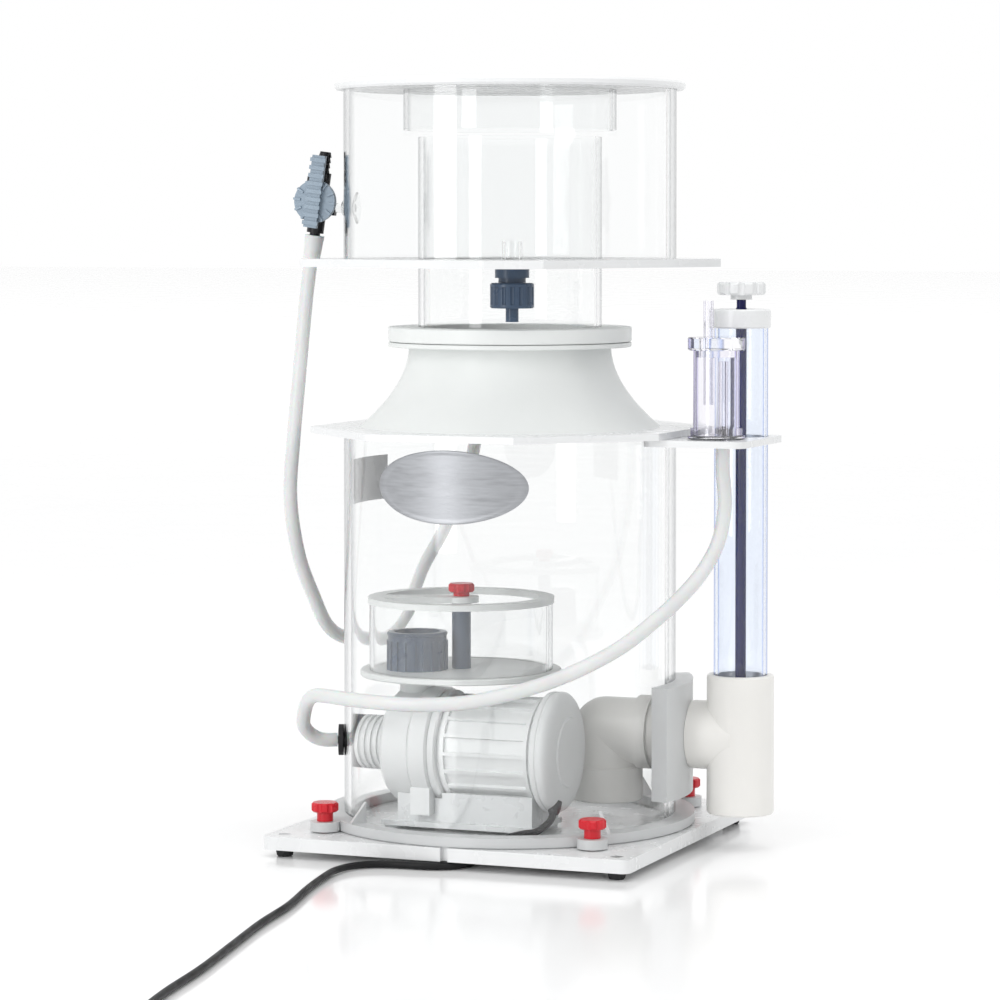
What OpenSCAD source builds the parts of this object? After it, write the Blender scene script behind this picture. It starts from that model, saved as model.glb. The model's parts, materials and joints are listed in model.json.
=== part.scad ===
// Protein skimmer with a collection cup, a needle-wheel pump and a level standpipe.
// Frame: millimetres, +Z up, origin on the floor under the centre line of the body tube.
// +X points to the outlet side, -Y to the front edge of the base plate.

/* [Base] */
// Side of the square base plate
base_side = 286; // [280:1:300]
// Thickness of the base plate
base_t = 10; // [8:1:12]
// Height of the rubber feet
foot_h = 6; // [6:1:8]

/* [Body] */
// Outer radius of the clear body tube
tube_r = 125; // [124:0.5:125]
// Wall thickness of the clear tubes
wall = 5; // [4:0.5:5]
// Height of the top of the body tube above the floor
tube_top = 308; // [300:1:316]
// Corner radius of the octagonal top plate
octagon_r = 150; // [148:1:152]
// Radius of the circle that the thumb screws stand on
screw_circle = 149; // [148:1:151]

/* [Funnel and cup] */
// Radius at the funnel throat
throat_r = 76; // [75:0.5:78]
// Radius at the funnel foot
funnel_foot_r = 113; // [110:1:116]
// Outer radius of the clamp ring
clamp_r = 91.5; // [90:0.5:93]
// Outer radius of the neck tube
neck_r = 69; // [68:0.5:69.5]
// Outer radius of the lid
lid_r = 131.5; // [130:0.5:134]
// Height of the collection cup wall
cup_h = 126; // [110:1:140]

/* [Pump and diffuser] */
// Front offset of the pump axis
pump_y = -46; // [-47:0.5:-45]
// Height of the pump axis
pump_z = 76; // [75:0.5:77]
// Outer radius of the motor housing
motor_r = 39; // [38:0.5:40]
// Outer radius of the diffuser disc
disc_r = 75; // [72:1:76]

/* [Outlet] */
// Distance of the standpipe from the body axis
pipe_x = 174; // [172:1:178]
// Offset of the outlet from the body's centre plane
pipe_y = 26; // [26:0.5:30]
// Height of the outlet branch
branch_z = 84; // [82:1:86]

/* [Hidden] */
$fn = 96;
base_mid = [2, 3];
base_top = foot_h + base_t;
foot_inset = base_side / 2 - 13;
flange_z = base_top + 1;
flange_t = 7;
flange_r = 139.5;
lug_r = 11;
screw_hole_r = 4.05;
gasket_t = 1;
plate_t = 5;
top_z = tube_top + plate_t;
throat_z = 373;
clamp_z = 377;
clamp_h = 11;
cup_plate_z = 433;
cup_plate_t = 6;
cup_z = cup_plate_z + cup_plate_t;
cup_top = cup_z + cup_h;
lid_t = 6;
neck_top = cup_top - 35;
plate_turn = 22.5;
view_az = -67.5;
drain_at = [97 * cos(view_az), 97 * sin(view_az)];
valve_az = 187;
valve_r = 150;
valve_z = 482;
valve_lean = -8;
silencer_at = [170, -20];
silencer_off = 5.2;
rod_r = 4;
fit = 0.05;
diffuser_at = [-28, -28];
socket_at = [-56, pump_y];
disc_z = 128;
disc_t = 4.5;
ring_z = 182;
ring_t = 4.5;
saddle_az = 10;
air_az = 180 + asin(-pump_y / tube_r);
hose_r = 5.25;
cable_r = 2.6;
slot_at = [25, -99];
slot_turn = 57;
gland_tilt = -25;
coil_at = [75, -720];
coil_mid_r = 29;
coil_wide = 9;
plug_at = [135, -755];

// Route of the air hose from the valve on the cup to the top plate.
air_route = [
    [-156, -19, 434],
    [-158, -19, 420],
    [-160, -20, 400],
    [-165, -20, 350],
    [-170, -20, 300],
    [-175, -15, 255],
    [-175, 0, 210],
    [-172, 22, 175],
    [-169, 38, 153],
    [-163, 54, 142],
    [-153, 71, 139],
    [-142, 86, 145],
    [-132, 96, 159],
    [-124, 100, 177],
    [-115, 101, 197],
    [-102, 105, 220],
    [-88, 109, 250],
    [-77, 110, 280],
    [-72, 110, 307]
];

// Route of the silencer hose from the bracket round the front to the air inlet.
silencer_route = [
    [175, -20, 303],
    [175, -20, 285],
    [178, -24, 260],
    [177, -35, 235],
    [170, -50, 214],
    [160, -68, 197],
    [145, -84, 180],
    [125, -99, 162],
    [100, -112, 147],
    [75, -125, 136],
    [45, -136, 127],
    [20, -143, 122],
    [-10, -149, 120],
    [-40, -149, 120],
    [-70, -140, 120],
    [-96, -122, 119],
    [-112, -108, 117],
    [-124, -94, 111],
    [-133, -81, 101],
    [-139, -70, 90],
    [-139, -62, 83],
    [-135, -56, 78],
    [-129, -52, 76],
    [-121, -48, 76]
];

// Route of the pump cable from the gland to the coil.
cable_route = [
    [60, -65, 36],
    [59, -69, 29],
    [55, -74, 24],
    [50, -78, 21],
    [43, -82, 20],
    [35, -86, 18],
    [30, -91, 15],
    [25, -99, 10],
    [20, -108, 6],
    [17, -117, 3],
    [15, -127, 3],
    [10, -136, 3],
    [1, -142, 3],
    [-11, -145, 3],
    [-25, -146, 3],
    [-38, -148, 3],
    [-50, -154, 3],
    [-58, -165, 3],
    [-61, -180, 3],
    [-60, -200, 3],
    [-50, -255, 3],
    [-35, -320, 3],
    [-25, -385, 3],
    [-10, -460, 3],
    [5, -535, 3],
    [15, -600, 3],
    [25, -650, 3],
    [35, -690, 3],
    [40, -725, 3]
];

// ---------- shared shapes ----------

function unit(v) = v / norm(v);

// A smooth curve through the points, with steps short pieces between each pair.
function smooth(p, steps) = [
    for (i = [0 : len(p) - 2])
        for (k = [0 : steps - (i == len(p) - 2 ? 0 : 1)])
            let (
                t = k / steps,
                a = i == 0 ? 2 * p[0] - p[1] : p[i - 1],
                b = p[i],
                c = p[i + 1],
                d = i == len(p) - 2 ? 2 * p[i + 1] - p[i] : p[i + 2]
            )
            0.5 * (2 * b + (c - a) * t + (2 * a - 5 * b + 4 * c - d) * t * t
                + (3 * b - a - 3 * c + d) * t * t * t)
];

function tangents(p) = [
    for (i = [0 : len(p) - 1])
        unit(p[min(i + 1, len(p) - 1)] - p[max(i - 1, 0)])
];

// Side vectors carried along the curve without twisting.
function carried(t, u, i = 0) =
    i >= len(t) ? [] :
    let (v = unit(u - (u * t[i]) * t[i]))
    concat([v], carried(t, v, i + 1));

// Round tube swept along a curve, closed at both ends.
module sweep(route, r, steps, start_side, sides = 10) {
    p = smooth(route, steps);
    t = tangents(p);
    u = carried(t, start_side);
    n = len(p);
    rings = [
        for (i = [0 : n - 1])
            for (k = [0 : sides - 1])
                let (w = cross(t[i], u[i]), a = 360 * k / sides)
                p[i] + r * (cos(a) * u[i] + sin(a) * w)
    ];
    walls = [
        for (i = [0 : n - 2])
            for (k = [0 : sides - 1])
                let (m = (k + 1) % sides)
                [i * sides + k, (i + 1) * sides + k, (i + 1) * sides + m, i * sides + m]
    ];
    first = [for (k = [0 : sides - 1]) k];
    last = [for (k = [0 : sides - 1]) n * sides - 1 - k];
    polyhedron(rings, concat(walls, [first, last]), convexity = 10);
}

// Ring of rectangular section.
module ring(r_out, r_in, h) {
    difference() {
        cylinder(r = r_out, h = h);
        translate([0, 0, -1]) cylinder(r = r_in, h = h + 2);
    }
}

// Ring whose outer edges are chamfered by c.
module soft_ring(r_out, r_in, h, c) {
    rotate_extrude()
        polygon([[r_in, 0], [r_out - c, 0], [r_out, c], [r_out, h - c], [r_out - c, h], [r_in, h]]);
}

// Square plate with round corners.
module round_square(side, r, h) {
    linear_extrude(h) round_outline(side, side, r);
}

module round_outline(w, d, r) {
    union() {
        square([w - 2 * r, d], center = true);
        square([w, d - 2 * r], center = true);
        for (x = [-1, 1])
            for (y = [-1, 1])
                translate([x * (w / 2 - r), y * (d / 2 - r)]) circle(r = r);
    }
}

// Places its children on the four diagonals of the base.
module at_foot_corners() {
    for (x = [-1, 1])
        for (y = [-1, 1])
            translate([base_mid[0] + x * foot_inset, base_mid[1] + y * foot_inset, 0]) children();
}

// Cylinder along +X.
module x_cylinder(x0, x1, r) {
    translate([x0, 0, 0]) rotate([0, 90, 0]) cylinder(r = r, h = x1 - x0);
}

// Moves its children to the pump's axis.
module on_pump_axis() {
    translate([0, pump_y, pump_z]) children();
}

// ---------- base and body ----------

module base_plate() {
    notch_x = 4;
    color("white")
    difference() {
        translate([base_mid[0], base_mid[1], foot_h]) round_square(base_side, 6, base_t);
        for (k = [0 : 3])
            rotate([0, 0, 45 + 90 * k])
                translate([screw_circle, 0, foot_h + 2]) cylinder(r = screw_hole_r, h = base_t);
        at_foot_corners() {
            translate([0, 0, foot_h - 1]) cylinder(r = 2.6, h = base_t + 2);
            translate([0, 0, base_top - 2]) cylinder(r = 4.6, h = 3);
        }
        translate([slot_at[0], slot_at[1], foot_h - 1])
            rotate([0, 0, slot_turn]) linear_extrude(base_t + 2) round_outline(38, 9, 4.4);
        translate([notch_x - 3, base_mid[1] - base_side / 2 - 1, foot_h - 1]) cube([6, 5, base_t + 2]);
    }
}

module rubber_feet() {
    color([0.08, 0.08, 0.08])
    at_foot_corners()
        difference() {
            rotate_extrude()
                polygon([[0, 0], [5, 0], [6, 1], [7, foot_h], [0, foot_h]]);
            translate([0, 0, 3]) cylinder(r = 2.05, h = foot_h);
        }
}

module foot_screws() {
    color("silver")
    at_foot_corners() {
        translate([0, 0, 3.2]) cylinder(r = 2, h = base_top - 4.2);
        translate([0, 0, base_top - 2]) cylinder(r = 4.5, h = 1.8);
    }
}

module body_tube() {
    color([0.8, 0.9, 0.95, 0.3])
    difference() {
        translate([0, 0, flange_z]) cylinder(r = tube_r, h = tube_top - flange_z);
        translate([0, 0, flange_z - 1]) cylinder(r = tube_r - wall, h = tube_top);
        translate([100, pipe_y, branch_z]) rotate([0, 90, 0]) cylinder(r = 25.05, h = 40);
        rotate([0, 0, air_az]) translate([100, 0, pump_z]) rotate([0, 90, 0]) cylinder(r = 6, h = 40);
    }
}

module body_flange() {
    color([0.9, 0.93, 0.95])
    difference() {
        union() {
            translate([0, 0, flange_z]) cylinder(r = flange_r, h = flange_t);
            for (k = [0 : 3])
                rotate([0, 0, 45 + 90 * k]) {
                    translate([screw_circle, 0, flange_z]) cylinder(r = lug_r, h = flange_t);
                    rotate([0, 0, 8]) gusset();
                }
        }
        translate([0, 0, flange_z - 1]) cylinder(r = tube_r, h = 60);
        for (k = [0 : 3])
            rotate([0, 0, 45 + 90 * k])
                translate([screw_circle, 0, flange_z - 1]) cylinder(r = screw_hole_r, h = 20);
    }
}

// Triangular rib between the flange and the tube wall.
module gusset() {
    translate([0, 1.5, flange_z + flange_t])
        rotate([90, 0, 0])
            linear_extrude(3) polygon([[tube_r - 1, -1], [flange_r - 1, -1], [tube_r - 1, 16]]);
}

module base_gasket() {
    color([0.75, 0.78, 0.8])
    translate([0, 0, base_top]) ring(flange_r - 2, tube_r - wall, gasket_t);
}

// Thumb screw standing on its lug, number k of four.
module thumb_screw(k) {
    seat = flange_z + flange_t;
    color([0.8, 0.02, 0.06])
    rotate([0, 0, 45 + 90 * k])
        translate([screw_circle, 0, 0]) {
            translate([0, 0, foot_h + 2.5]) cylinder(r = 4, h = seat - foot_h - 2);
            translate([0, 0, seat + 0.2]) cylinder(r = 6, h = 7);
            translate([0, 0, seat + 7]) thumb_head(10, 7);
        }
}

// Red head with grip scallops round its rim.
module thumb_head(r, h) {
    grips = 8;
    difference() {
        soft_ring(r, 0, h, 1.2);
        for (k = [0 : grips - 1])
            rotate([0, 0, 360 * k / grips]) translate([r + 1.2, 0, -1]) cylinder(r = 2.4, h = h + 2);
    }
}

module octagon_outline() {
    circle_points = [for (k = [0 : 7]) octagon_r * [cos(plate_turn + 45 * k), sin(plate_turn + 45 * k)]];
    polygon(circle_points);
}

module top_plate() {
    color("white")
    difference() {
        translate([0, 0, tube_top]) linear_extrude(plate_t) octagon_outline();
        translate([0, 0, tube_top - 1]) cylinder(r = funnel_foot_r - 8, h = plate_t + 2);
    }
}

// Outer radius of the funnel at a share f of its height, 0 at the foot and 1 at the throat.
function funnel_radius(f) = throat_r + (funnel_foot_r - throat_r) * pow(1 - f, 1.9);

module funnel() {
    skin = 4;
    steps = 12;
    rise = throat_z - top_z;
    outer = [for (k = [0 : steps]) [funnel_radius(k / steps), top_z + rise * k / steps]];
    inner = [for (k = [steps : -1 : 0]) [funnel_radius(k / steps) - skin, top_z + rise * k / steps]];
    color([0.86, 0.88, 0.88])
    rotate_extrude()
        polygon(concat(
            outer,
            [[clamp_r, throat_z], [clamp_r, clamp_z - 0.5], [neck_r + 4, clamp_z - 0.5], [neck_r + 4, throat_z]],
            inner
        ));
}

// Soft sealing ring between the throat and the neck tube.
module neck_seal() {
    color([0.1, 0.1, 0.1])
    translate([0, 0, throat_z]) ring(neck_r + 4, neck_r + 0.4, 3.5);
}

// ---------- collection cup ----------

module clamp_ring() {
    color([0.9, 0.92, 0.92])
    translate([0, 0, clamp_z]) soft_ring(clamp_r, neck_r, clamp_h, 0.8);
}

module neck_tube() {
    color([0.8, 0.9, 0.95, 0.3])
    translate([0, 0, throat_z - 8]) ring(neck_r, neck_r - 4, neck_top - throat_z + 8);
}

module cup_plate() {
    corner = 157;
    color("white")
    difference() {
        translate([0, 0, cup_plate_z])
            linear_extrude(cup_plate_t)
                intersection() {
                    rotate(plate_turn + 45) square(2 * tube_r + 2, center = true);
                    rotate(plate_turn) square(2 * corner, center = true);
                }
        translate([0, 0, cup_plate_z - 1]) cylinder(r = neck_r, h = cup_plate_t + 2);
        translate([drain_at[0], drain_at[1], cup_plate_z - 1]) cylinder(r = 7.25, h = cup_plate_t + 2);
    }
}

module cup_tube() {
    color([0.8, 0.9, 0.95, 0.3])
    translate([0, 0, cup_z]) ring(tube_r, tube_r - 4, cup_h);
}

module cup_lid() {
    color("white")
    translate([0, 0, cup_top + 0.1]) soft_ring(lid_r, 0, lid_t, 1.6);
}

// Clear collar under the lid that hangs round the neck's mouth.
module lid_collar() {
    collar_r = 80;
    drop = 30;
    color([0.8, 0.9, 0.95, 0.3])
    translate([0, 0, cup_top + 0.1 - drop]) ring(collar_r, collar_r - 3, drop);
}

module drain_stub() {
    color([0.8, 0.9, 0.95, 0.4])
    translate([drain_at[0], drain_at[1], cup_plate_z]) ring(7.25, 5, 19.5);
}

module drain_body() {
    color([0.3, 0.36, 0.44])
    translate([drain_at[0], drain_at[1], 0]) {
        translate([0, 0, 426]) ring(12.5, 5, cup_plate_z - 426);
        translate([0, 0, 422.6]) ring(10, 5, 3.5);
        translate([0, 0, 412]) ring(8, 5, 11);
    }
}

module drain_nut() {
    grips = 16;
    color([0.25, 0.3, 0.38])
    translate([drain_at[0], drain_at[1], 404])
        difference() {
            soft_ring(16, 4.7 + fit, 18.3, 1);
            translate([0, 0, 4]) cylinder(r = 8 + fit, h = 20);
            for (k = [0 : grips - 1])
                rotate([0, 0, 360 * k / grips]) translate([16.6, 0, 2.5]) cylinder(r = 1.6, h = 13);
        }
}

module drain_pipe() {
    color([0.85, 0.87, 0.88])
    translate([drain_at[0], drain_at[1], 0]) {
        translate([0, 0, 394]) ring(4.7, 3, 15);
        translate([0, 0, 408.3]) ring(7.8, 3, 3.5);
    }
}

// ---------- air valve on the cup ----------

module at_valve() {
    rotate([0, 0, valve_az]) translate([valve_r, 0, valve_z]) rotate([0, valve_lean, 0]) children();
}

module valve_body() {
    color([0.06, 0.06, 0.07])
    at_valve()
        difference() {
            union() {
                translate([0, 0, -24]) cylinder(r = 6.5, h = 46);
                for (k = [0 : 3])
                    translate([0, 0, 22 + 4 * k]) cylinder(r1 = 5, r2 = 4, h = 4);
                translate([0, 0, -28]) cylinder(r = 4, h = 5);
                rotate([-90, 0, 0]) cylinder(r = 11, h = 7);
                rotate([90, 0, 0]) cylinder(r = 8, h = 9);
                translate([-14, -3, -9]) cube([10, 6, 8]);
                translate([6, -2.5, 8]) cube([5, 5, 10]);
            }
            translate([0, 0, -30]) cylinder(r = 2.2, h = 80);
            rotate([-90, 0, 0]) cylinder(r = 3.05, h = 20);
        }
}

// Grey disc with a long ridged handle; it turns on the valve's spindle.
module valve_lever() {
    disc_y = 7.4;
    color([0.5, 0.58, 0.65])
    at_valve() {
        translate([0, disc_y, 0]) rotate([-90, 0, 0]) cylinder(r = 16, h = 5);
        translate([-5, disc_y + 4, -20]) cube([10, 5, 55]);
        for (k = [0 : 8])
            translate([-6, disc_y + 8, -18 + 6 * k]) cube([12, 2, 3]);
        for (a = [0 : 30 : 330])
            rotate([0, a, 0]) translate([11, disc_y + 4.5, -0.8]) cube([5.5, 2, 1.6]);
        translate([0, 1.5, 0]) rotate([-90, 0, 0]) cylinder(r = 3, h = 7);
    }
}

module suction_cup() {
    color([0.85, 0.9, 0.92, 0.5])
    rotate([0, 0, valve_az])
        translate([tube_r + 0.3, 0, valve_z - 5])
            rotate([0, 90, 0]) {
                cylinder(r1 = 12, r2 = 5, h = 6);
                translate([0, 0, 5.5]) cylinder(r = 3.5, h = 5.3);
            }
}

module hose_cuff() {
    color([0.9, 0.92, 0.92])
    at_valve()
        translate([0, 0, -48])
            difference() {
                cylinder(r1 = 6, r2 = 7.5, h = 22);
                translate([0, 0, 18]) cylinder(r = 4, h = 5);
                translate([0, 0, -1]) cylinder(r = 3.5, h = 24);
            }
}

// ---------- bracket, silencer and standpipe ----------

module side_bracket() {
    color("white")
    translate([0, 0, tube_top - plate_t - 0.1])
        difference() {
            linear_extrude(plate_t)
                translate([161, 0]) round_outline(78, 100, 8);
            translate([0, 0, -1]) cylinder(r = tube_r + 0.3, h = plate_t + 2);
            translate([pipe_x, pipe_y, -1]) cylinder(r = 20.5, h = plate_t + 2);
            translate([silencer_at[0] + silencer_off, silencer_at[1], -1]) cylinder(r = 3.7, h = plate_t + 2);
        }
}

module silencer_base() {
    seat = tube_top - 0.1;
    color([0.85, 0.85, 0.92, 0.4])
    translate([silencer_at[0], silencer_at[1], seat]) {
        difference() {
            union() {
                soft_ring(21, 0, 3, 0.8);
                translate([0, 0, 2.5]) cylinder(r = 19, h = 6);
            }
            translate([0, 0, 3]) cylinder(r = 17, h = 8);
            translate([silencer_off, 0, -1]) cylinder(r = 2.4, h = 8);
        }
        translate([silencer_off, 0, -plate_t]) ring(3.65, 2.4, 62);
    }
}

module silencer_body() {
    color([0.85, 0.85, 0.92, 0.3])
    translate([silencer_at[0], silencer_at[1], tube_top + 2.9]) ring(17, 15, 62);
}

// Lid with the tall open intake tube.
module silencer_lid() {
    color([0.85, 0.85, 0.92, 0.4])
    translate([silencer_at[0], silencer_at[1], tube_top + 65])
        difference() {
            union() {
                soft_ring(21, 0, 9.5, 0.8);
                translate([0, 0, -5]) cylinder(r = 15 - fit, h = 6);
                translate([-silencer_off - 1, 0, -40]) cylinder(r = 3.6, h = 76);
            }
            translate([-silencer_off - 1, 0, -41]) cylinder(r = 2.4, h = 80);
        }
}

module at_pipe() {
    translate([pipe_x, pipe_y, 0]) children();
}

module standpipe_tube() {
    color([0.6, 0.75, 0.92, 0.35])
    at_pipe() translate([0, 0, 112]) ring(20, 17, 279);
}

module standpipe_cap() {
    color("white")
    at_pipe()
        translate([0, 0, 388])
            difference() {
                soft_ring(22, rod_r + fit, 14, 1);
                translate([0, 0, -1]) cylinder(r = 20.3, h = 4);
            }
}

module level_knob() {
    grips = 10;
    color("white")
    at_pipe()
        translate([0, 0, 412.5])
            difference() {
                union() {
                    soft_ring(18, 0, 9.5, 1.5);
                    translate([0, 0, -3.4]) cylinder(r = 8, h = 4);
                }
                for (k = [0 : grips - 1])
                    rotate([0, 0, 360 * k / grips]) translate([19, 0, -5]) cylinder(r = 3, h = 20);
                translate([0, 0, -5]) cylinder(r = 3.5, h = 9);
            }
}

module level_rod() {
    color([0.08, 0.1, 0.35])
    at_pipe() {
        translate([0, 0, 109]) cylinder(r = rod_r, h = 294);
        translate([0, 0, 402]) cylinder(r = 3.5, h = 14);
    }
}

module level_plug() {
    color([0.15, 0.16, 0.2])
    at_pipe()
        translate([0, 0, 100])
            difference() {
                soft_ring(17 - fit, 0, 20, 1);
                translate([0, 0, 8]) cylinder(r = rod_r + fit, h = 20);
            }
}

// ---------- outlet ----------

module outlet_tee() {
    color([0.93, 0.93, 0.9])
    difference() {
        union() {
            at_pipe() translate([0, 0, 27]) soft_ring(25, 0, 103.5, 1.2);
            at_pipe() translate([0, 0, 126]) cylinder(r = 24, h = 4);
            translate([138.3, pipe_y, branch_z]) x_cylinder(0, pipe_x - 138.3, 25.5);
        }
        at_pipe() translate([0, 0, 20]) cylinder(r = 20.05, h = 40);
        at_pipe() translate([0, 0, 50]) cylinder(r = 19.4, h = 80);
        at_pipe() translate([0, 0, 111.9]) cylinder(r = 20.3, h = 30);
        translate([138, pipe_y, branch_z]) x_cylinder(0, pipe_x - 138, 20);
    }
}

// Curved block that carries the branch on the tube wall.
module outlet_saddle() {
    half_angle = 22;
    color([0.9, 0.92, 0.92])
    difference() {
        rotate([0, 0, saddle_az - half_angle])
            translate([0, 0, 40])
                rotate_extrude(angle = 2 * half_angle)
                    translate([tube_r + 0.05, 0]) square([13, 84]);
        translate([100, pipe_y, branch_z]) x_cylinder(0, 60, 25.05);
    }
}

module outlet_elbow() {
    bend_x = 68;
    color([0.93, 0.93, 0.9])
    difference() {
        union() {
            translate([bend_x, pipe_y, branch_z]) x_cylinder(0, 138.2 - bend_x, 25);
            translate([bend_x, pipe_y, branch_z]) x_cylinder(27, 38, 27.5);
            translate([bend_x, pipe_y, branch_z]) sphere(r = 25);
            translate([bend_x, pipe_y, 32]) cylinder(r = 25, h = branch_z - 32);
            translate([bend_x, pipe_y, 32]) soft_ring(27.5, 0, 26, 1);
        }
        translate([bend_x, pipe_y, branch_z]) x_cylinder(0, 90, 20);
        translate([bend_x, pipe_y, branch_z]) sphere(r = 20);
        translate([bend_x, pipe_y, 30]) cylinder(r = 20, h = branch_z - 30);
    }
}

// ---------- bubble diffuser ----------

module at_diffuser() {
    translate([diffuser_at[0], diffuser_at[1], 0]) children();
}

module diffuser_base() {
    color([0.82, 0.84, 0.84])
    difference() {
        at_diffuser() translate([0, 0, disc_z]) soft_ring(disc_r, 0, disc_t, 0.8);
        translate([socket_at[0], socket_at[1], disc_z - 1]) cylinder(r = 12, h = disc_t + 2);
    }
}

module diffuser_wall() {
    color([0.8, 0.9, 0.95, 0.3])
    at_diffuser() translate([0, 0, disc_z + disc_t]) ring(68.5, 66, ring_z - disc_z - disc_t);
}

module diffuser_top() {
    bar = 22;
    color([0.85, 0.87, 0.87])
    at_diffuser()
        translate([0, 0, ring_z])
            linear_extrude(ring_t)
                difference() {
                    union() {
                        difference() {
                            circle(r = 69.5);
                            circle(r = 58.5);
                        }
                        rotate(202) translate([0, -bar / 2]) square([62, bar]);
                        circle(r = bar / 2 + 2);
                    }
                    circle(r = 3.05);
                }
}

module diffuser_post() {
    color([0.3, 0.36, 0.44])
    at_diffuser()
        translate([0, 0, disc_z + disc_t])
            difference() {
                cylinder(r = 7.1, h = ring_z - disc_z - disc_t);
                translate([0, 0, 30]) cylinder(r = 3.05, h = 40);
            }
}

module diffuser_screw() {
    seat = ring_z + ring_t;
    color([0.8, 0.02, 0.06])
    at_diffuser() {
        translate([0, 0, seat - 20]) cylinder(r = 3, h = 21);
        translate([0, 0, seat + 0.2]) cylinder(r = 6, h = 3.5);
        translate([0, 0, seat + 3.2]) thumb_head(9.7, 6.5);
    }
}

module riser_socket() {
    ribs = 20;
    color([0.22, 0.28, 0.36])
    translate([socket_at[0], socket_at[1], disc_z + disc_t]) {
        ring(21.8, 17.5, 26);
        for (k = [0 : ribs - 1])
            rotate([0, 0, 360 * k / ribs]) translate([21.5, -0.9, 0]) cube([1.3, 1.8, 22]);
        translate([0, 0, 25.5]) soft_ring(22.4, 17.5, 3, 0.8);
    }
}

// ---------- pump ----------

// Gasket whose back follows the inside of the tube.
module pump_gasket() {
    color([0.25, 0.27, 0.3])
    difference() {
        intersection() {
            on_pump_axis() x_cylinder(-118, -97.6, 20);
            cylinder(r = tube_r - wall - 0.4, h = 140);
        }
        on_pump_axis() x_cylinder(-125, -90, 14);
    }
}

// Ribbed intake, front cover and volute rim with the outlet neck.
module pump_volute() {
    cover_r = 42;
    rim_r = 44;
    color([0.85, 0.87, 0.87])
    difference() {
        union() {
            on_pump_axis() {
                x_cylinder(-97.5, -67, 18.5);
                for (k = [0 : 5])
                    x_cylinder(-97.5 + 4.8 * k, -95.1 + 4.8 * k, 20.3);
                rotate([0, 90, 0]) translate([0, 0, -69]) soft_ring(cover_r, 0, 25, 3);
                rotate([0, 90, 0]) translate([0, 0, -46]) soft_ring(rim_r, 0, 15, 1.5);
                translate([-46, -36, -47]) cube([15, 72, 20]);
                rotate([0, 90, 0]) translate([0, 0, -31.5]) soft_ring(rim_r - 2, 0, 6.5, 1);
            }
            translate([socket_at[0], socket_at[1], pump_z + 20]) cylinder(r = 13, h = disc_z - pump_z - 20);
            translate([socket_at[0], socket_at[1], disc_z - 0.1]) cylinder(r = 11.95, h = disc_t + 0.1);
        }
        on_pump_axis() {
            x_cylinder(-100, -63, 14);
            x_cylinder(-64, -32, 29);
            x_cylinder(-35, -20, 17);
        }
        translate([socket_at[0], socket_at[1], pump_z]) cylinder(r = 8.5, h = 80);
    }
}

// Motor can with ribs along it.
module pump_motor() {
    color([0.86, 0.88, 0.88])
    on_pump_axis()
        difference() {
            union() {
                x_cylinder(-24.9, 49, motor_r - 2);
                for (a = [10 : 20 : 350])
                    rotate([a, 0, 0]) translate([-20, -1.3, motor_r - 3.5]) cube([64, 2.6, 4]);
                x_cylinder(-22, -19, motor_r + 0.4);
                x_cylinder(43, 46, motor_r + 0.4);
            }
            x_cylinder(-26, 38, 17);
        }
}

module pump_end_cap() {
    r = 44.4;
    color([0.88, 0.9, 0.9])
    on_pump_axis() {
        rotate([0, 90, 0])
            rotate_extrude()
                polygon([[0, 49.1], [r - 2, 49.1], [r, 51], [r, 58], [r - 2, 61], [r - 7, 63.5],
                    [r - 18, 65.5], [0, 66]]);
        rotate([gland_tilt, 0, 0]) translate([60, 0, -r - 3]) cylinder(r = 5, h = 10);
    }
}

// Low clear-grey tray with a flange on every side.
module pump_foot() {
    tray_z = base_top + 3;
    color([0.85, 0.88, 0.9, 0.6])
    difference() {
        union() {
            translate([-72, pump_y - 30, tray_z]) cube([120, 60, 4]);
            translate([-60, pump_y - 27, tray_z]) cube([106, 54, 26]);
            for (x = [-66, 41])
                for (y = [-22, 22])
                    translate([x, pump_y + y, base_top]) cylinder(r = 6, h = 3.5);
        }
        on_pump_axis() x_cylinder(-80, -45.8, 42.3);
        on_pump_axis() x_cylinder(-46.2, -24.8, 44.3);
        translate([-46.3, pump_y - 36.3, pump_z - 47.3]) cube([15.6, 72.6, 60]);
        on_pump_axis() x_cylinder(-25, 49.5, motor_r + 0.9);
        on_pump_axis() x_cylinder(49, 70, 44.8);
    }
}

// Needle wheel and magnet rotor on one hub.
module pump_impeller() {
    pins = 10;
    color([0.35, 0.4, 0.5])
    on_pump_axis()
        difference() {
            union() {
                x_cylinder(-42, -39, 26);
                x_cylinder(-60, -38, 7);
                x_cylinder(-39, 28, 13);
                for (k = [0 : pins - 1])
                    for (r = [14, 22])
                        rotate([360 * k / pins, 0, 0]) translate([-60, 0, r]) x_cylinder(0, 19, 1.2);
            }
            x_cylinder(-65, 30, 2 + fit);
        }
}

module pump_shaft() {
    color("silver")
    on_pump_axis() x_cylinder(-61, 38, 2);
}

module air_grommet() {
    color([0.06, 0.06, 0.07])
    rotate([0, 0, air_az])
        translate([0, 0, pump_z])
            difference() {
                union() {
                    x_cylinder(tube_r - wall + 0.2, tube_r + 1, 5.9);
                    x_cylinder(tube_r + 0.6, tube_r + 4.2, 11.7);
                    x_cylinder(tube_r + 4, tube_r + 10, 3);
                }
                x_cylinder(tube_r - 10, tube_r + 20, 1.6);
            }
}

// ---------- badge and label ----------

// Plain oval plate bent round the front of the tube.
module badge() {
    half_w = 59;
    half_h = 27;
    badge_z = 275;
    oval = [for (a = [0 : 5 : 355]) [half_w * cos(a), half_h * sin(a)]];
    color([0.75, 0.76, 0.78])
    intersection() {
        translate([0, 0, badge_z - 40]) ring(tube_r + 1, tube_r + 0.05, 80);
        translate([0, 0, badge_z]) rotate([90, 0, 0]) linear_extrude(tube_r + 10) polygon(oval);
    }
}

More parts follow.
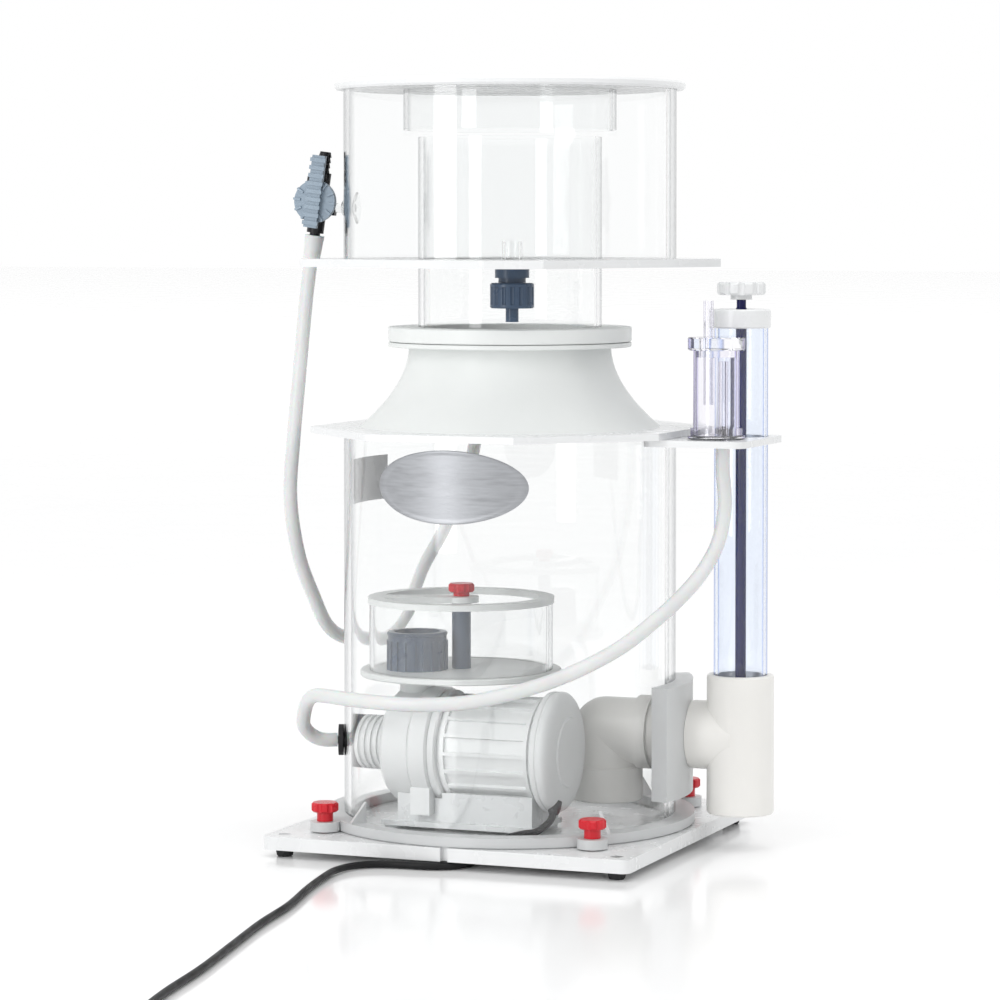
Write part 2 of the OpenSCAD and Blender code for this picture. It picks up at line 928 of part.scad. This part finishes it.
// Blank grey label on the side away from the outlet.
module tube_label() {
    half_angle = 16.5;
    color([0.7, 0.71, 0.72])
    rotate([0, 0, 180 - half_angle])
        translate([0, 0, 253])
            rotate_extrude(angle = 2 * half_angle)
                translate([tube_r + 0.05, 0]) square([0.4, 34]);
}

// ---------- hoses, cable and plug ----------

module air_hose() {
    color([0.9, 0.93, 0.93])
    sweep(air_route, hose_r, 2, [1, 0, 0]);
}

module silencer_hose() {
    color([0.9, 0.93, 0.93])
    sweep(silencer_route, hose_r, 2, [1, 0, 0]);
}

module pump_cable() {
    color([0.05, 0.05, 0.05])
    sweep(cable_route, cable_r, 2, [0, 1, 0], 8);
}

module cable_coil() {
    color([0.05, 0.05, 0.05])
    translate([coil_at[0], coil_at[1], 0])
        rotate_extrude()
            translate([coil_mid_r - coil_wide, 0]) square([2 * coil_wide, 16]);
}

// Round two-pin mains plug lying on its side.
module mains_plug() {
    color([0.06, 0.06, 0.07])
    translate([plug_at[0], plug_at[1], 18.6]) {
        rotate([0, 90, 0]) soft_ring(18.5, 0, 22, 1.5);
        rotate([0, 90, 0]) translate([0, 0, -20]) cylinder(r1 = 6, r2 = 14, h = 20.5);
        for (y = [-9.5, 9.5])
            translate([0, y, 0]) x_cylinder(21.5, 41, 2.4);
    }
}

base_plate();
rubber_feet();
foot_screws();
body_tube();
body_flange();
base_gasket();
thumb_screw(0);  // thumb_screw_1
thumb_screw(1);  // thumb_screw_2
thumb_screw(2);  // thumb_screw_3
thumb_screw(3);  // thumb_screw_4
top_plate();
funnel();
neck_seal();
clamp_ring();
neck_tube();
cup_plate();
cup_tube();
cup_lid();
lid_collar();
drain_stub();
drain_body();
drain_nut();
drain_pipe();
valve_body();
valve_lever();
suction_cup();
hose_cuff();
side_bracket();
silencer_base();
silencer_body();
silencer_lid();
standpipe_tube();
standpipe_cap();
level_knob();
level_rod();
level_plug();
outlet_tee();
outlet_saddle();
outlet_elbow();
diffuser_base();
diffuser_wall();
diffuser_top();
diffuser_post();
diffuser_screw();
riser_socket();
pump_gasket();
pump_volute();
pump_motor();
pump_end_cap();
pump_foot();
pump_impeller();
pump_shaft();
air_grommet();
badge();
tube_label();
air_hose();
silencer_hose();
pump_cable();
cable_coil();
mains_plug();
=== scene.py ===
import json
import math

import bmesh
import bpy
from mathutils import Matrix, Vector


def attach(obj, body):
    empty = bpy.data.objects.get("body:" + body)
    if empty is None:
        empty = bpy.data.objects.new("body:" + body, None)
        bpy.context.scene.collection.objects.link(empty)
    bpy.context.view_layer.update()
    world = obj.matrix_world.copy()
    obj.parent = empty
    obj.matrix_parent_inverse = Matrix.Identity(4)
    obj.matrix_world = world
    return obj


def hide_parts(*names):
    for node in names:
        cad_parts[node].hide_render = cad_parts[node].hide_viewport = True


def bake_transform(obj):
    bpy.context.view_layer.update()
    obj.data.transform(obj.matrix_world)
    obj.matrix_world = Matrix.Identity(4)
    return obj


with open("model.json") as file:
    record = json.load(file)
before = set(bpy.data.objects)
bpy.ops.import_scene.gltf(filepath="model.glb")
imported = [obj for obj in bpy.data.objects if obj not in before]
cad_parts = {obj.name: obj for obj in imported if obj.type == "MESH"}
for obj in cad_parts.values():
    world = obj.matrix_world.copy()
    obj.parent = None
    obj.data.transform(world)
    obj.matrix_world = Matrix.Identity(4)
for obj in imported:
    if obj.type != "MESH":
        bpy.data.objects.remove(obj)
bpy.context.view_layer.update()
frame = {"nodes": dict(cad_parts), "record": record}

MM = 0.001

# ---------- camera ----------

VIEW_AZ = math.radians(21.6)
VIEW_DISTANCE = 2.78
VIEW_HEIGHT = 0.468
VIEW_TILT = math.radians(2.2)
VIEW_LENS = 133.2
VIEW_SHIFT = (-0.010, -0.138)
VIEW_REACH = 60


def make_camera():
    data = bpy.data.cameras.new("camera")
    data.sensor_width = 36
    data.lens = VIEW_LENS
    data.shift_x, data.shift_y = VIEW_SHIFT
    data.clip_end = VIEW_REACH
    camera = bpy.data.objects.new("camera", data)
    camera.location = (VIEW_DISTANCE * math.sin(VIEW_AZ), -VIEW_DISTANCE * math.cos(VIEW_AZ), VIEW_HEIGHT)
    camera.rotation_euler = (math.pi / 2 - VIEW_TILT, 0, VIEW_AZ)
    bpy.context.scene.collection.objects.link(camera)
    bpy.context.scene.camera = camera


make_camera()

# ---------- mesh helpers ----------


def add_object(name, mesh, material, body="root"):
    """Smooth-shaded piece that rides on a body; without a body the caller says what it follows."""
    piece = bpy.data.objects.new(name, mesh)
    bpy.context.scene.collection.objects.link(piece)
    mesh.materials.append(material)
    for face in mesh.polygons:
        face.use_smooth = True
    if body:
        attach(piece, body)
    return piece


def mesh_from(name, vertices, faces):
    mesh = bpy.data.meshes.new(name)
    mesh.from_pydata([tuple(v) for v in vertices], [], faces)
    build = bmesh.new()
    build.from_mesh(mesh)
    bmesh.ops.remove_doubles(build, verts=build.verts, dist=1e-7)
    bmesh.ops.recalc_face_normals(build, faces=build.faces)
    build.to_mesh(mesh)
    build.free()
    return mesh


def lathe_mesh(name, profile, place, segments=96, closed=False):
    """Turns (radius, height) points in millimetres about an axis; place maps x, y, z in mm to the frame."""
    vertices = []
    faces = []
    count = len(profile)
    for i in range(segments):
        angle = 2 * math.pi * i / segments
        for radius, height in profile:
            vertices.append(place(radius * math.cos(angle), radius * math.sin(angle), height))
    last = count if closed else count - 1
    for i in range(segments):
        j = (i + 1) % segments
        for k in range(last):
            m = (k + 1) % count
            faces.append((i * count + k, j * count + k, j * count + m, i * count + m))
    return mesh_from(name, vertices, faces)


def upright(x, y, z):
    """Places a lathed point about the tube's axis."""
    return (x * MM, y * MM, z * MM)


def sharpen(piece, degrees=35):
    """Keeps crisp edges on a smooth-shaded mesh."""
    piece.data.set_sharp_from_angle(angle=math.radians(degrees))
    return piece


# ---------- routes of the hoses and the cable, in millimetres ----------

AIR_ROUTE = [
    (-156, -19, 434), (-158, -19, 420), (-160, -20, 400), (-165, -20, 350), (-170, -20, 300),
    (-175, -15, 255), (-175, 0, 210), (-172, 22, 175), (-169, 38, 153), (-163, 54, 142),
    (-153, 71, 139), (-142, 86, 145), (-132, 96, 159), (-124, 100, 177), (-115, 101, 197),
    (-102, 105, 220), (-88, 109, 250), (-77, 110, 280), (-72, 110, 307),
]

SILENCER_ROUTE = [
    (175, -20, 303), (175, -20, 285), (178, -24, 260), (177, -35, 235), (170, -50, 214),
    (160, -68, 197), (145, -84, 180), (125, -99, 162), (100, -112, 147), (75, -125, 136),
    (45, -136, 127), (20, -143, 122), (-10, -149, 120), (-40, -149, 120), (-70, -140, 120),
    (-96, -122, 119), (-112, -108, 117), (-124, -94, 111), (-133, -81, 101), (-139, -70, 90),
    (-139, -62, 83), (-135, -56, 78), (-129, -52, 76), (-121, -48, 76),
]

CABLE_ROUTE = [
    (60, -65, 36), (59, -69, 29), (55, -74, 24), (50, -78, 21), (43, -82, 20),
    (35, -86, 18), (30, -91, 15), (25, -99, 10), (20, -108, 6), (17, -117, 3),
    (15, -127, 3), (10, -136, 3), (1, -142, 3), (-11, -145, 3), (-25, -146, 3),
    (-38, -148, 3), (-50, -154, 3), (-58, -165, 3), (-61, -180, 3), (-60, -200, 3),
    (-50, -255, 3), (-35, -320, 3), (-25, -385, 3), (-10, -460, 3), (5, -535, 3),
    (15, -600, 3), (25, -650, 3), (35, -690, 3), (40, -725, 3),
]

COIL_AT = (75, -720)
COIL_RADII = (35.3, 23.8)
COIL_LAYERS = 3
COIL_LAYER = 5.1
COIL_FIRST_Z = 3
COIL_TURNS_A_LAYER = 2.25
COIL_STEPS_A_TURN = 40
COIL_CLIMB_FROM = 0.88
COIL_LEAD_SIDE = 34.9
COIL_LEAD = ((10, 13.4), (20, 15.4), (29, 17.4))
PLUG_AT = (135, -755)
PLUG_Z = 18.6
PLUG_TAIL = 19
PIN_SIDE = 9.5
HOSE_D = 10.5
CABLE_D = 5.2


def smooth_route(points, steps):
    """Smooth curve through the points, with the given number of steps from each to the next."""
    points = [Vector(p) for p in points]
    out = []
    last = len(points) - 2
    for i in range(last + 1):
        before = points[i - 1] if i else 2 * points[0] - points[1]
        after = points[i + 2] if i < last else 2 * points[i + 1] - points[i]
        b = points[i]
        c = points[i + 1]
        for k in range(steps + (i == last)):
            t = k / steps
            out.append(0.5 * (2 * b + (c - before) * t + (2 * before - 5 * b + 4 * c - after) * t * t
                              + (3 * b - before - 3 * c + after) * t ** 3))
    return out


def coil_turns():
    """Layers of a flat spiral, wound in and out by turns, each climbing to the next at its end."""
    start = math.atan2(CABLE_ROUTE[-1][1] - COIL_AT[1], CABLE_ROUTE[-1][0] - COIL_AT[0])
    finish = 1.5 * math.pi
    outer, inner = COIL_RADII
    total = COIL_LAYERS * COIL_TURNS_A_LAYER * 2 * math.pi
    total = math.floor((total + start - finish) / (2 * math.pi)) * 2 * math.pi + finish - start
    steps = int(total / (2 * math.pi) * COIL_STEPS_A_TURN)
    points = []
    for i in range(1, steps + 1):
        share = i / steps * COIL_LAYERS
        layer = min(int(share), COIL_LAYERS - 1)
        across = share - layer
        radius = outer + (inner - outer) * (across if layer % 2 == 0 else 1 - across)
        climb = 0.0
        if layer < COIL_LAYERS - 1:
            climb = max(0.0, (across - COIL_CLIMB_FROM) / (1 - COIL_CLIMB_FROM))
        angle = start + total * i / steps
        points.append(Vector((COIL_AT[0] + radius * math.cos(angle), COIL_AT[1] + radius * math.sin(angle),
                              COIL_FIRST_Z + COIL_LAYER * (layer + climb))))
    return points


def tube_curve(name, points, diameter, material):
    """Round tube along the points, as a curve on the root body."""
    data = bpy.data.curves.new(name, "CURVE")
    data.dimensions = "3D"
    spline = data.splines.new("POLY")
    spline.points.add(len(points) - 1)
    for knot, p in zip(spline.points, points):
        knot.co = (p[0] * MM, p[1] * MM, p[2] * MM, 1)
    data.bevel_depth = diameter / 2 * MM
    data.bevel_resolution = 5
    data.use_fill_caps = True
    data.materials.append(material)
    piece = bpy.data.objects.new(name, data)
    bpy.context.scene.collection.objects.link(piece)
    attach(piece, "root")
    return piece


def tube_mesh(name, points, diameter, material, sides=20):
    """Round tube along the points, as a mesh, with closed ends."""
    count = len(points)
    tangents = [(points[min(i + 1, count - 1)] - points[max(i - 1, 0)]).normalized() for i in range(count)]
    side = Vector((1, 0, 0))
    vertices = []
    for p, t in zip(points, tangents):
        side = (side - side.dot(t) * t).normalized()
        other = t.cross(side)
        for k in range(sides):
            a = 2 * math.pi * k / sides
            vertices.append((p + diameter / 2 * (math.cos(a) * side + math.sin(a) * other)) * MM)
    faces = []
    for i in range(count - 1):
        for k in range(sides):
            m = (k + 1) % sides
            faces.append((i * sides + k, i * sides + m, (i + 1) * sides + m, (i + 1) * sides + k))
    faces.append(tuple(range(sides)))
    faces.append(tuple(range((count - 1) * sides, count * sides)))
    return add_object(name, mesh_from(name, vertices, faces), material, body=None)


# ---------- materials ----------


class Nodes:
    """Short names for building a material's node tree."""

    def __init__(self, name):
        self.material = bpy.data.materials.new(name)
        self.material.use_nodes = True
        self.tree = self.material.node_tree
        self.shader = self.tree.nodes["Principled BSDF"]
        self.place = self.tree.nodes.new("ShaderNodeTexCoord").outputs["Object"]

    def add(self, kind, **values):
        node = self.tree.nodes.new(kind)
        for key, value in values.items():
            node.inputs[key].default_value = value
        return node

    def link(self, a, b):
        self.tree.links.new(a, b)

    def set(self, **values):
        for key, value in values.items():
            self.shader.inputs[key.replace("_", " ")].default_value = value

    def noise(self, scale, detail=3.0, stretch=None):
        node = self.add("ShaderNodeTexNoise", Scale=scale, Detail=detail)
        if stretch:
            mapping = self.add("ShaderNodeMapping", Scale=stretch)
            self.link(self.place, mapping.inputs["Vector"])
            self.link(mapping.outputs["Vector"], node.inputs["Vector"])
        else:
            self.link(self.place, node.inputs["Vector"])
        return node.outputs["Fac"]

    def ramp(self, factor, stops):
        node = self.tree.nodes.new("ShaderNodeValToRGB")
        elements = node.color_ramp.elements
        while len(elements) < len(stops):
            elements.new(0.5)
        for element, (position, colour) in zip(elements, stops):
            element.position = position
            element.color = (*colour, 1)
        self.link(factor, node.inputs["Fac"])
        return node.outputs["Color"]

    def spread(self, factor, low, high):
        node = self.add("ShaderNodeMapRange")
        node.inputs["From Min"].default_value = 0.3
        node.inputs["From Max"].default_value = 0.7
        node.inputs["To Min"].default_value = low
        node.inputs["To Max"].default_value = high
        self.link(factor, node.inputs["Value"])
        return node.outputs["Result"]

    def bump(self, height, strength, distance):
        node = self.add("ShaderNodeBump", Strength=strength, Distance=distance)
        self.link(height, node.inputs["Height"])
        self.link(node.outputs["Normal"], self.shader.inputs["Normal"])


def scaled(colour, k):
    return tuple(min(1.0, c * k) for c in colour)


def moulded(name, colour, rough, grain=900, bump=0.15, vary=0.05, **sockets):
    """Moulded or cast plastic: faint mottling, uneven gloss and a fine grain."""
    n = Nodes(name)
    cloud = n.noise(14, 4)
    n.link(n.ramp(cloud, [(0.3, scaled(colour, 1 - vary)), (0.7, scaled(colour, 1 + vary))]),
           n.shader.inputs["Base Color"])
    n.link(n.spread(n.noise(60, 5), rough - 0.06, rough + 0.07), n.shader.inputs["Roughness"])
    n.bump(n.noise(grain, 2), bump, 0.0002)
    n.set(**sockets)
    return n.material


def clear(name, face, edge, rough=0.0, ior=1.49, edge_from=0.80):
    """Clear acrylic in its own faint tint, with painted shade that darkens its colour where it is seen edge
    on, standing in for dark surroundings refracted in the wall; it also loses its shine there and has faint
    smears.
    """
    n = Nodes(name)
    weight = n.add("ShaderNodeLayerWeight", Blend=0.5)
    # Painted edge shade: the base colour runs from the acrylic's own tint to a dark colour as the surface
    # turns edge on.
    tint_and_edge_shade = n.ramp(weight.outputs["Facing"], [(edge_from, face), (edge_from + 0.14, scaled(edge, 4.0)),
                                             (edge_from + 0.21, edge)])
    n.link(tint_and_edge_shade, n.shader.inputs["Base Color"])
    gloss = n.ramp(weight.outputs["Facing"], [(edge_from, (0.5, 0.5, 0.5)),
                                              (edge_from + 0.16, (0.02, 0.02, 0.02))])
    n.link(gloss, n.shader.inputs["Specular IOR Level"])
    n.link(n.spread(n.noise(9, 4), rough, rough + 0.012), n.shader.inputs["Roughness"])
    n.set(IOR=ior, Transmission_Weight=1.0)
    return n.material


def brushed(name, colour, rough, stretch):
    """Metal brushed along one direction."""
    n = Nodes(name)
    lines = n.noise(60, 6, stretch)
    n.link(n.ramp(lines, [(0.3, scaled(colour, 0.86)), (0.7, scaled(colour, 1.1))]),
           n.shader.inputs["Base Color"])
    n.link(n.spread(lines, rough - 0.06, rough + 0.1), n.shader.inputs["Roughness"])
    n.bump(lines, 0.12, 0.0001)
    n.set(Metallic=1.0)
    return n.material


def silicone(name, colour):
    """Soft translucent hose rubber."""
    n = Nodes(name)
    n.link(n.ramp(n.noise(30, 3), [(0.3, scaled(colour, 0.95)), (0.7, scaled(colour, 1.03))]),
           n.shader.inputs["Base Color"])
    n.link(n.spread(n.noise(80, 3), 0.30, 0.42), n.shader.inputs["Roughness"])
    n.bump(n.noise(300, 2), 0.08, 0.0002)
    n.set(Subsurface_Weight=0.35, Subsurface_Scale=0.004, Transmission_Weight=0.12)
    return n.material


# In each clear() entry the first colour is the acrylic's own and the second is the painted shade of its
# edges where seen edge on.
MATERIALS = {
    "white_acrylic": moulded("white_acrylic", (0.77, 0.78, 0.785), 0.24, 1400, 0.05, 0.02),
    "clear_acrylic": clear("clear_acrylic", (0.985, 0.99, 0.99), (0.06, 0.065, 0.07), edge_from=0.72),
    "frosted_acrylic": moulded("frosted_acrylic", (0.75, 0.765, 0.77), 0.34, 700, 0.08, 0.04,
                               Transmission_Weight=0.25),
    "funnel_plastic": moulded("funnel_plastic", (0.78, 0.80, 0.79), 0.40, 1100, 0.22, 0.025),
    "pipe_pvc": moulded("pipe_pvc", (0.84, 0.83, 0.80), 0.38, 800, 0.2, 0.03),
    "grey_pvc": moulded("grey_pvc", (0.030, 0.058, 0.105), 0.30, 900, 0.2, 0.12),
    "red_plastic": moulded("red_plastic", (0.60, 0.006, 0.018), 0.30, 1000, 0.15, 0.08),
    "black_rubber": moulded("black_rubber", (0.018, 0.018, 0.02), 0.68, 500, 0.4, 0.2),
    "steel": brushed("steel", (0.55, 0.55, 0.56), 0.3, (1, 1, 12)),
    "ceramic": moulded("ceramic", (0.7, 0.68, 0.64), 0.15, 900, 0.05, 0.04),
    "black_plastic": moulded("black_plastic", (0.010, 0.010, 0.012), 0.34, 700, 0.25, 0.2,
                             Specular_IOR_Level=0.3),
    "valve_grey": moulded("valve_grey", (0.27, 0.34, 0.41), 0.42, 800, 0.3, 0.08),
    "soft_clear": clear("soft_clear", (0.93, 0.94, 0.94), (0.35, 0.37, 0.38), 0.12, 1.4, 0.6),
    "pump_shell": moulded("pump_shell", (0.82, 0.835, 0.835), 0.40, 900, 0.3, 0.03),
    "pump_base": moulded("pump_base", (0.80, 0.82, 0.825), 0.30, 600, 0.15, 0.06, Transmission_Weight=0.12),
    "rotor_blue": moulded("rotor_blue", (0.10, 0.16, 0.30), 0.35, 800, 0.2, 0.1),
    "blue_clear": clear("blue_clear", (0.915, 0.945, 0.998), (0.06, 0.10, 0.34), edge_from=0.60),
    "navy_rod": moulded("navy_rod", (0.004, 0.006, 0.085), 0.25, 600, 0.1, 0.1, Specular_IOR_Level=0.25),
    "silencer_clear": clear("silencer_clear", (0.965, 0.96, 0.985), (0.12, 0.10, 0.22), 0.02, edge_from=0.5),
    "hose_silicone": silicone("hose_silicone", (0.78, 0.80, 0.80)),
    "cable_black": moulded("cable_black", (0.008, 0.008, 0.009), 0.45, 500, 0.3, 0.2,
                           Specular_IOR_Level=0.25),
    "badge_metal": brushed("badge_metal", (0.40, 0.41, 0.43), 0.42, (1, 1, 10)),
    "label_film": moulded("label_film", (0.44, 0.45, 0.47), 0.30, 700, 0.1, 0.1),
}

SLOT_OF = {row["node"]: row["material_slot"] for row in frame["record"]["subparts"]}
CLEAR_SLOTS = ("clear_acrylic", "blue_clear", "silencer_clear", "soft_clear")


def dress_nodes():
    """Gives every CAD node the finished material of its slot; clear ones let the lamps through."""
    for node, piece in frame["nodes"].items():
        for place in piece.material_slots:
            place.link = "OBJECT"
            place.material = MATERIALS[SLOT_OF[node]]
        if SLOT_OF[node] in CLEAR_SLOTS:
            piece.visible_shadow = False


dress_nodes()


def stand_for(piece, *nodes):
    """Hides the CAD nodes that the piece stands for."""
    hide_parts(*nodes)
    return piece


# ---------- cords ----------


def make_cords():
    air_points = smooth_route(AIR_ROUTE, 8)
    air = tube_mesh("air_hose_tube", air_points, HOSE_D, MATERIALS["hose_silicone"])
    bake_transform(air)
    stand_for(air, "air_hose")

    silencer_points = smooth_route(SILENCER_ROUTE, 8)
    silencer = tube_curve("silencer_hose_tube", silencer_points, HOSE_D, MATERIALS["hose_silicone"])
    stand_for(silencer, "silencer_hose")

    lead = [Vector((COIL_AT[0] + x, COIL_AT[1] - COIL_LEAD_SIDE, z)) for x, z in COIL_LEAD]
    lead.append(Vector((PLUG_AT[0] - PLUG_TAIL, PLUG_AT[1], PLUG_Z)))
    cable_points = smooth_route(CABLE_ROUTE, 6) + coil_turns() + lead
    cable = tube_curve("pump_cable_lead", cable_points, CABLE_D, MATERIALS["cable_black"])
    plug = make_plug()
    tie = make_tie()
    stand_for(cable, "pump_cable", "cable_coil")


def make_plug():
    """Round two-pin plug with a ribbed tail."""
    tail = [(0, -20), (3.4, -20)]
    for i in range(5):
        z = -19 + 3 * i
        radius = 4.6 + 1.1 * i
        tail += [(radius, z), (radius, z + 1.7), (radius - 0.9, z + 2.1), (radius - 0.9, z + 2.9)]
    body = [(13.6, -1.5), (16.8, 0.2), (17.9, 1.6), (18.2, 3.5), (18.2, 16.5), (17.6, 20), (16.4, 21.9),
            (0, 21.9)]

    def at_plug(x, y, z):
        return ((PLUG_AT[0] + z) * MM, (PLUG_AT[1] + x) * MM, (PLUG_Z + y) * MM)

    mesh = lathe_mesh("plug_body", tail + body, at_plug, 64)
    plug = add_object("plug_body", mesh, MATERIALS["black_plastic"])
    sharpen(plug)
    stand_for(plug, "mains_plug")
    profile = [(0, 21), (2.4, 21), (2.4, 38.6), (1.9, 40.2), (1.0, 40.9), (0, 41)]
    for side in (-1, 1):

        def at_pin(x, y, z):
            return at_plug(x + side * PIN_SIDE, y, z)

        mesh = lathe_mesh("pin", profile, at_pin, 24)
        pin = add_object(f"plug_pin_{side + 2}", mesh, MATERIALS["steel"], None)
        pin.parent = plug
    return plug


def make_tie():
    """Flat strap that holds the coil's turns together: a rounded box outline, swept to a band."""
    around = 32
    half_wide, half_high, half_band, inner = 8.3, 7.6, 2.2, 0.94
    x0, z0 = COIL_AT[0] + 29, 8.0
    vertices = []
    faces = []
    for i in range(around):
        a = 2 * math.pi * i / around
        u = half_wide * math.copysign(abs(math.cos(a)) ** 0.5, math.cos(a))
        v = half_high * math.copysign(abs(math.sin(a)) ** 0.5, math.sin(a))
        for y, grow in ((-half_band, 1.0), (half_band, 1.0), (half_band, inner), (-half_band, inner)):
            vertices.append(((x0 + u * grow) * MM, (COIL_AT[1] + y) * MM, (z0 + v * grow) * MM))
    for i in range(around):
        j = (i + 1) % around
        for k in range(4):
            m = (k + 1) % 4
            faces.append((4 * i + k, 4 * j + k, 4 * j + m, 4 * i + m))
    tie = add_object("coil_tie", mesh_from("coil_tie", vertices, faces), MATERIALS["black_rubber"])
    return sharpen(tie)


make_cords()

# ---------- shells that need a smooth surface ----------

TUBE_R = 125.0
TOP_PLATE_Z = 313.0
THROAT_Z = 373.0
PUMP_Y = -46.0
PUMP_Z = 76.0
GLAND_X = 60
GLAND_LEAN = math.radians(25)


def make_funnel():
    """Flared skin with a flat collar round its throat."""
    throat, foot, skin, steps = 76.0, 113.0, 4.0, 48
    rise = THROAT_Z - TOP_PLATE_Z

    def radius(share):
        return throat + (foot - throat) * (1 - share) ** 1.9

    outer = [(radius(i / steps), TOP_PLATE_Z + rise * i / steps) for i in range(steps + 1)]
    inner = [(radius(i / steps) - skin, TOP_PLATE_Z + rise * i / steps) for i in range(steps, -1, -1)]
    collar = [(90.7, THROAT_Z), (91.4, THROAT_Z + 0.6), (91.4, THROAT_Z + 2.9), (90.7, THROAT_Z + 3.5),
              (73.2, THROAT_Z + 3.5), (73.0, THROAT_Z)]
    mesh = lathe_mesh("funnel_shell", outer + collar + inner, upright, 160, closed=True)
    shell = add_object("funnel_shell", mesh, MATERIALS["funnel_plastic"])
    sharpen(shell)
    stand_for(shell, "funnel")


def make_end_cap():
    """Domed motor cap with shallow steps, a rim bead and a cable gland."""
    profile = [(0, 49.1), (42.6, 49.1), (44, 50.2), (44.3, 51.4), (44.3, 53.6), (43.7, 54.2), (43.7, 55.2),
               (44.3, 55.8), (44.3, 57.6)]
    for i in range(1, 13):
        a = math.pi / 2 * i / 12
        profile.append((26 + 18.3 * math.cos(a) ** 0.8 if i < 12 else 26, 57.6 + 7 * math.sin(a)))
    profile += [(25.2, 65.6), (0, 65.9)]

    def along_pump(x, y, z):
        return (z * MM, (PUMP_Y + x) * MM, (PUMP_Z + y) * MM)

    mesh = lathe_mesh("pump_cap_shell", profile, along_pump, 96)
    cap = add_object("pump_cap_shell", mesh, MATERIALS["pump_shell"])
    sharpen(cap, 28)
    stand_for(cap, "pump_end_cap")
    gland = [(0, 28.7), (2.7, 28.7), (3.6, 28.8), (4.4, 31.0), (4.0, 31.7), (4.8, 33.0), (4.9, 38.5),
             (0, 38.5)]

    def leaning(x, y, z):
        """Places a point of an upright gland below the pump, turned sideways about the pump's axis."""
        drop = PUMP_Z - z
        return ((GLAND_X + x) * MM, (PUMP_Y + y * math.cos(GLAND_LEAN) - drop * math.sin(GLAND_LEAN)) * MM,
                (PUMP_Z - drop * math.cos(GLAND_LEAN) - y * math.sin(GLAND_LEAN)) * MM)

    mesh = lathe_mesh("cable_gland", gland, leaning, 32)
    piece = add_object("cable_gland", mesh, MATERIALS["black_rubber"], None)
    sharpen(piece)
    piece.parent = cap


def make_badge():
    """Blank oval plate with a raised rim, bent round the tube."""
    half_w, half_h, height = 58.8, 26.8, 275.0
    rings = [(0.0, 0.62), (0.3, 0.62), (0.6, 0.62), (0.85, 0.62), (0.905, 0.62), (0.92, 0.9),
             (0.965, 0.93), (0.985, 0.86), (1.0, 0.6), (1.0, 0.08), (0.5, 0.08), (0.0, 0.08)]
    around = 120
    vertices = []
    faces = []
    for share, proud in rings:
        radius = TUBE_R + proud
        for j in range(around):
            a = 2 * math.pi * j / around
            x = half_w * share * math.cos(a)
            bend = math.asin(x / (TUBE_R + 1))
            vertices.append((radius * math.sin(bend) * MM, -radius * math.cos(bend) * MM,
                             (height + half_h * share * math.sin(a)) * MM))
    for i in range(len(rings) - 1):
        for j in range(around):
            m = (j + 1) % around
            faces.append((i * around + j, i * around + m, (i + 1) * around + m, (i + 1) * around + j))
    plate = add_object("badge_plate", mesh_from("badge_plate", vertices, faces), MATERIALS["badge_metal"])
    sharpen(plate, 50)
    stand_for(plate, "badge")


make_funnel()
make_end_cap()
make_badge()

# ---------- floor and light ----------


def make_stage():
    """Plain pale floor, wide enough to reach the horizon."""
    far = 30
    corners = [(-far, -far, 0), (far, -far, 0), (far, far, 0), (-far, far, 0)]
    mesh = mesh_from("floor", corners, [(0, 1, 2, 3)])
    n = Nodes("floor")
    n.link(n.ramp(n.noise(3, 2), [(0.3, (0.955, 0.955, 0.96)), (0.7, (0.97, 0.97, 0.97))]),
           n.shader.inputs["Base Color"])
    n.link(n.spread(n.noise(5, 3), 0.10, 0.16), n.shader.inputs["Roughness"])
    floor = bpy.data.objects.new("floor", mesh)
    mesh.materials.append(n.material)
    bpy.context.scene.collection.objects.link(floor)


def make_light(name, place, target, size, power):
    """Area lamp turned towards a target."""
    data = bpy.data.lights.new(name, "AREA")
    data.shape = "RECTANGLE"
    data.size, data.size_y = size
    data.energy = power
    lamp = bpy.data.objects.new(name, data)
    lamp.location = place
    lamp.rotation_euler = (Vector(target) - Vector(place)).to_track_quat("-Z", "Y").to_euler()
    bpy.context.scene.collection.objects.link(lamp)


def from_view(right, near, height):
    """A point given to the right of the tube's axis and towards the camera."""
    return (right * math.cos(VIEW_AZ) + near * math.sin(VIEW_AZ),
            right * math.sin(VIEW_AZ) - near * math.cos(VIEW_AZ), height)


def make_lights():
    """White world with a softbox at the left and one above."""
    world = bpy.data.worlds.new("studio")
    world.use_nodes = True
    world.node_tree.nodes["Background"].inputs["Color"].default_value = (1, 1, 1, 1)
    world.node_tree.nodes["Background"].inputs["Strength"].default_value = 1.0
    bpy.context.scene.world = world
    watts = 7
    make_light("softbox_left", from_view(-1.1, 1.15, 0.75), (0, 0, 0.3), (0.45, 1.4), watts)
    make_light("softbox_top", from_view(0.3, 0.2, 1.9), (0, 0, 0.2), (1.4, 1.4), watts)


make_stage()
make_lights()
bpy.context.scene.view_settings.view_transform = "Standard"
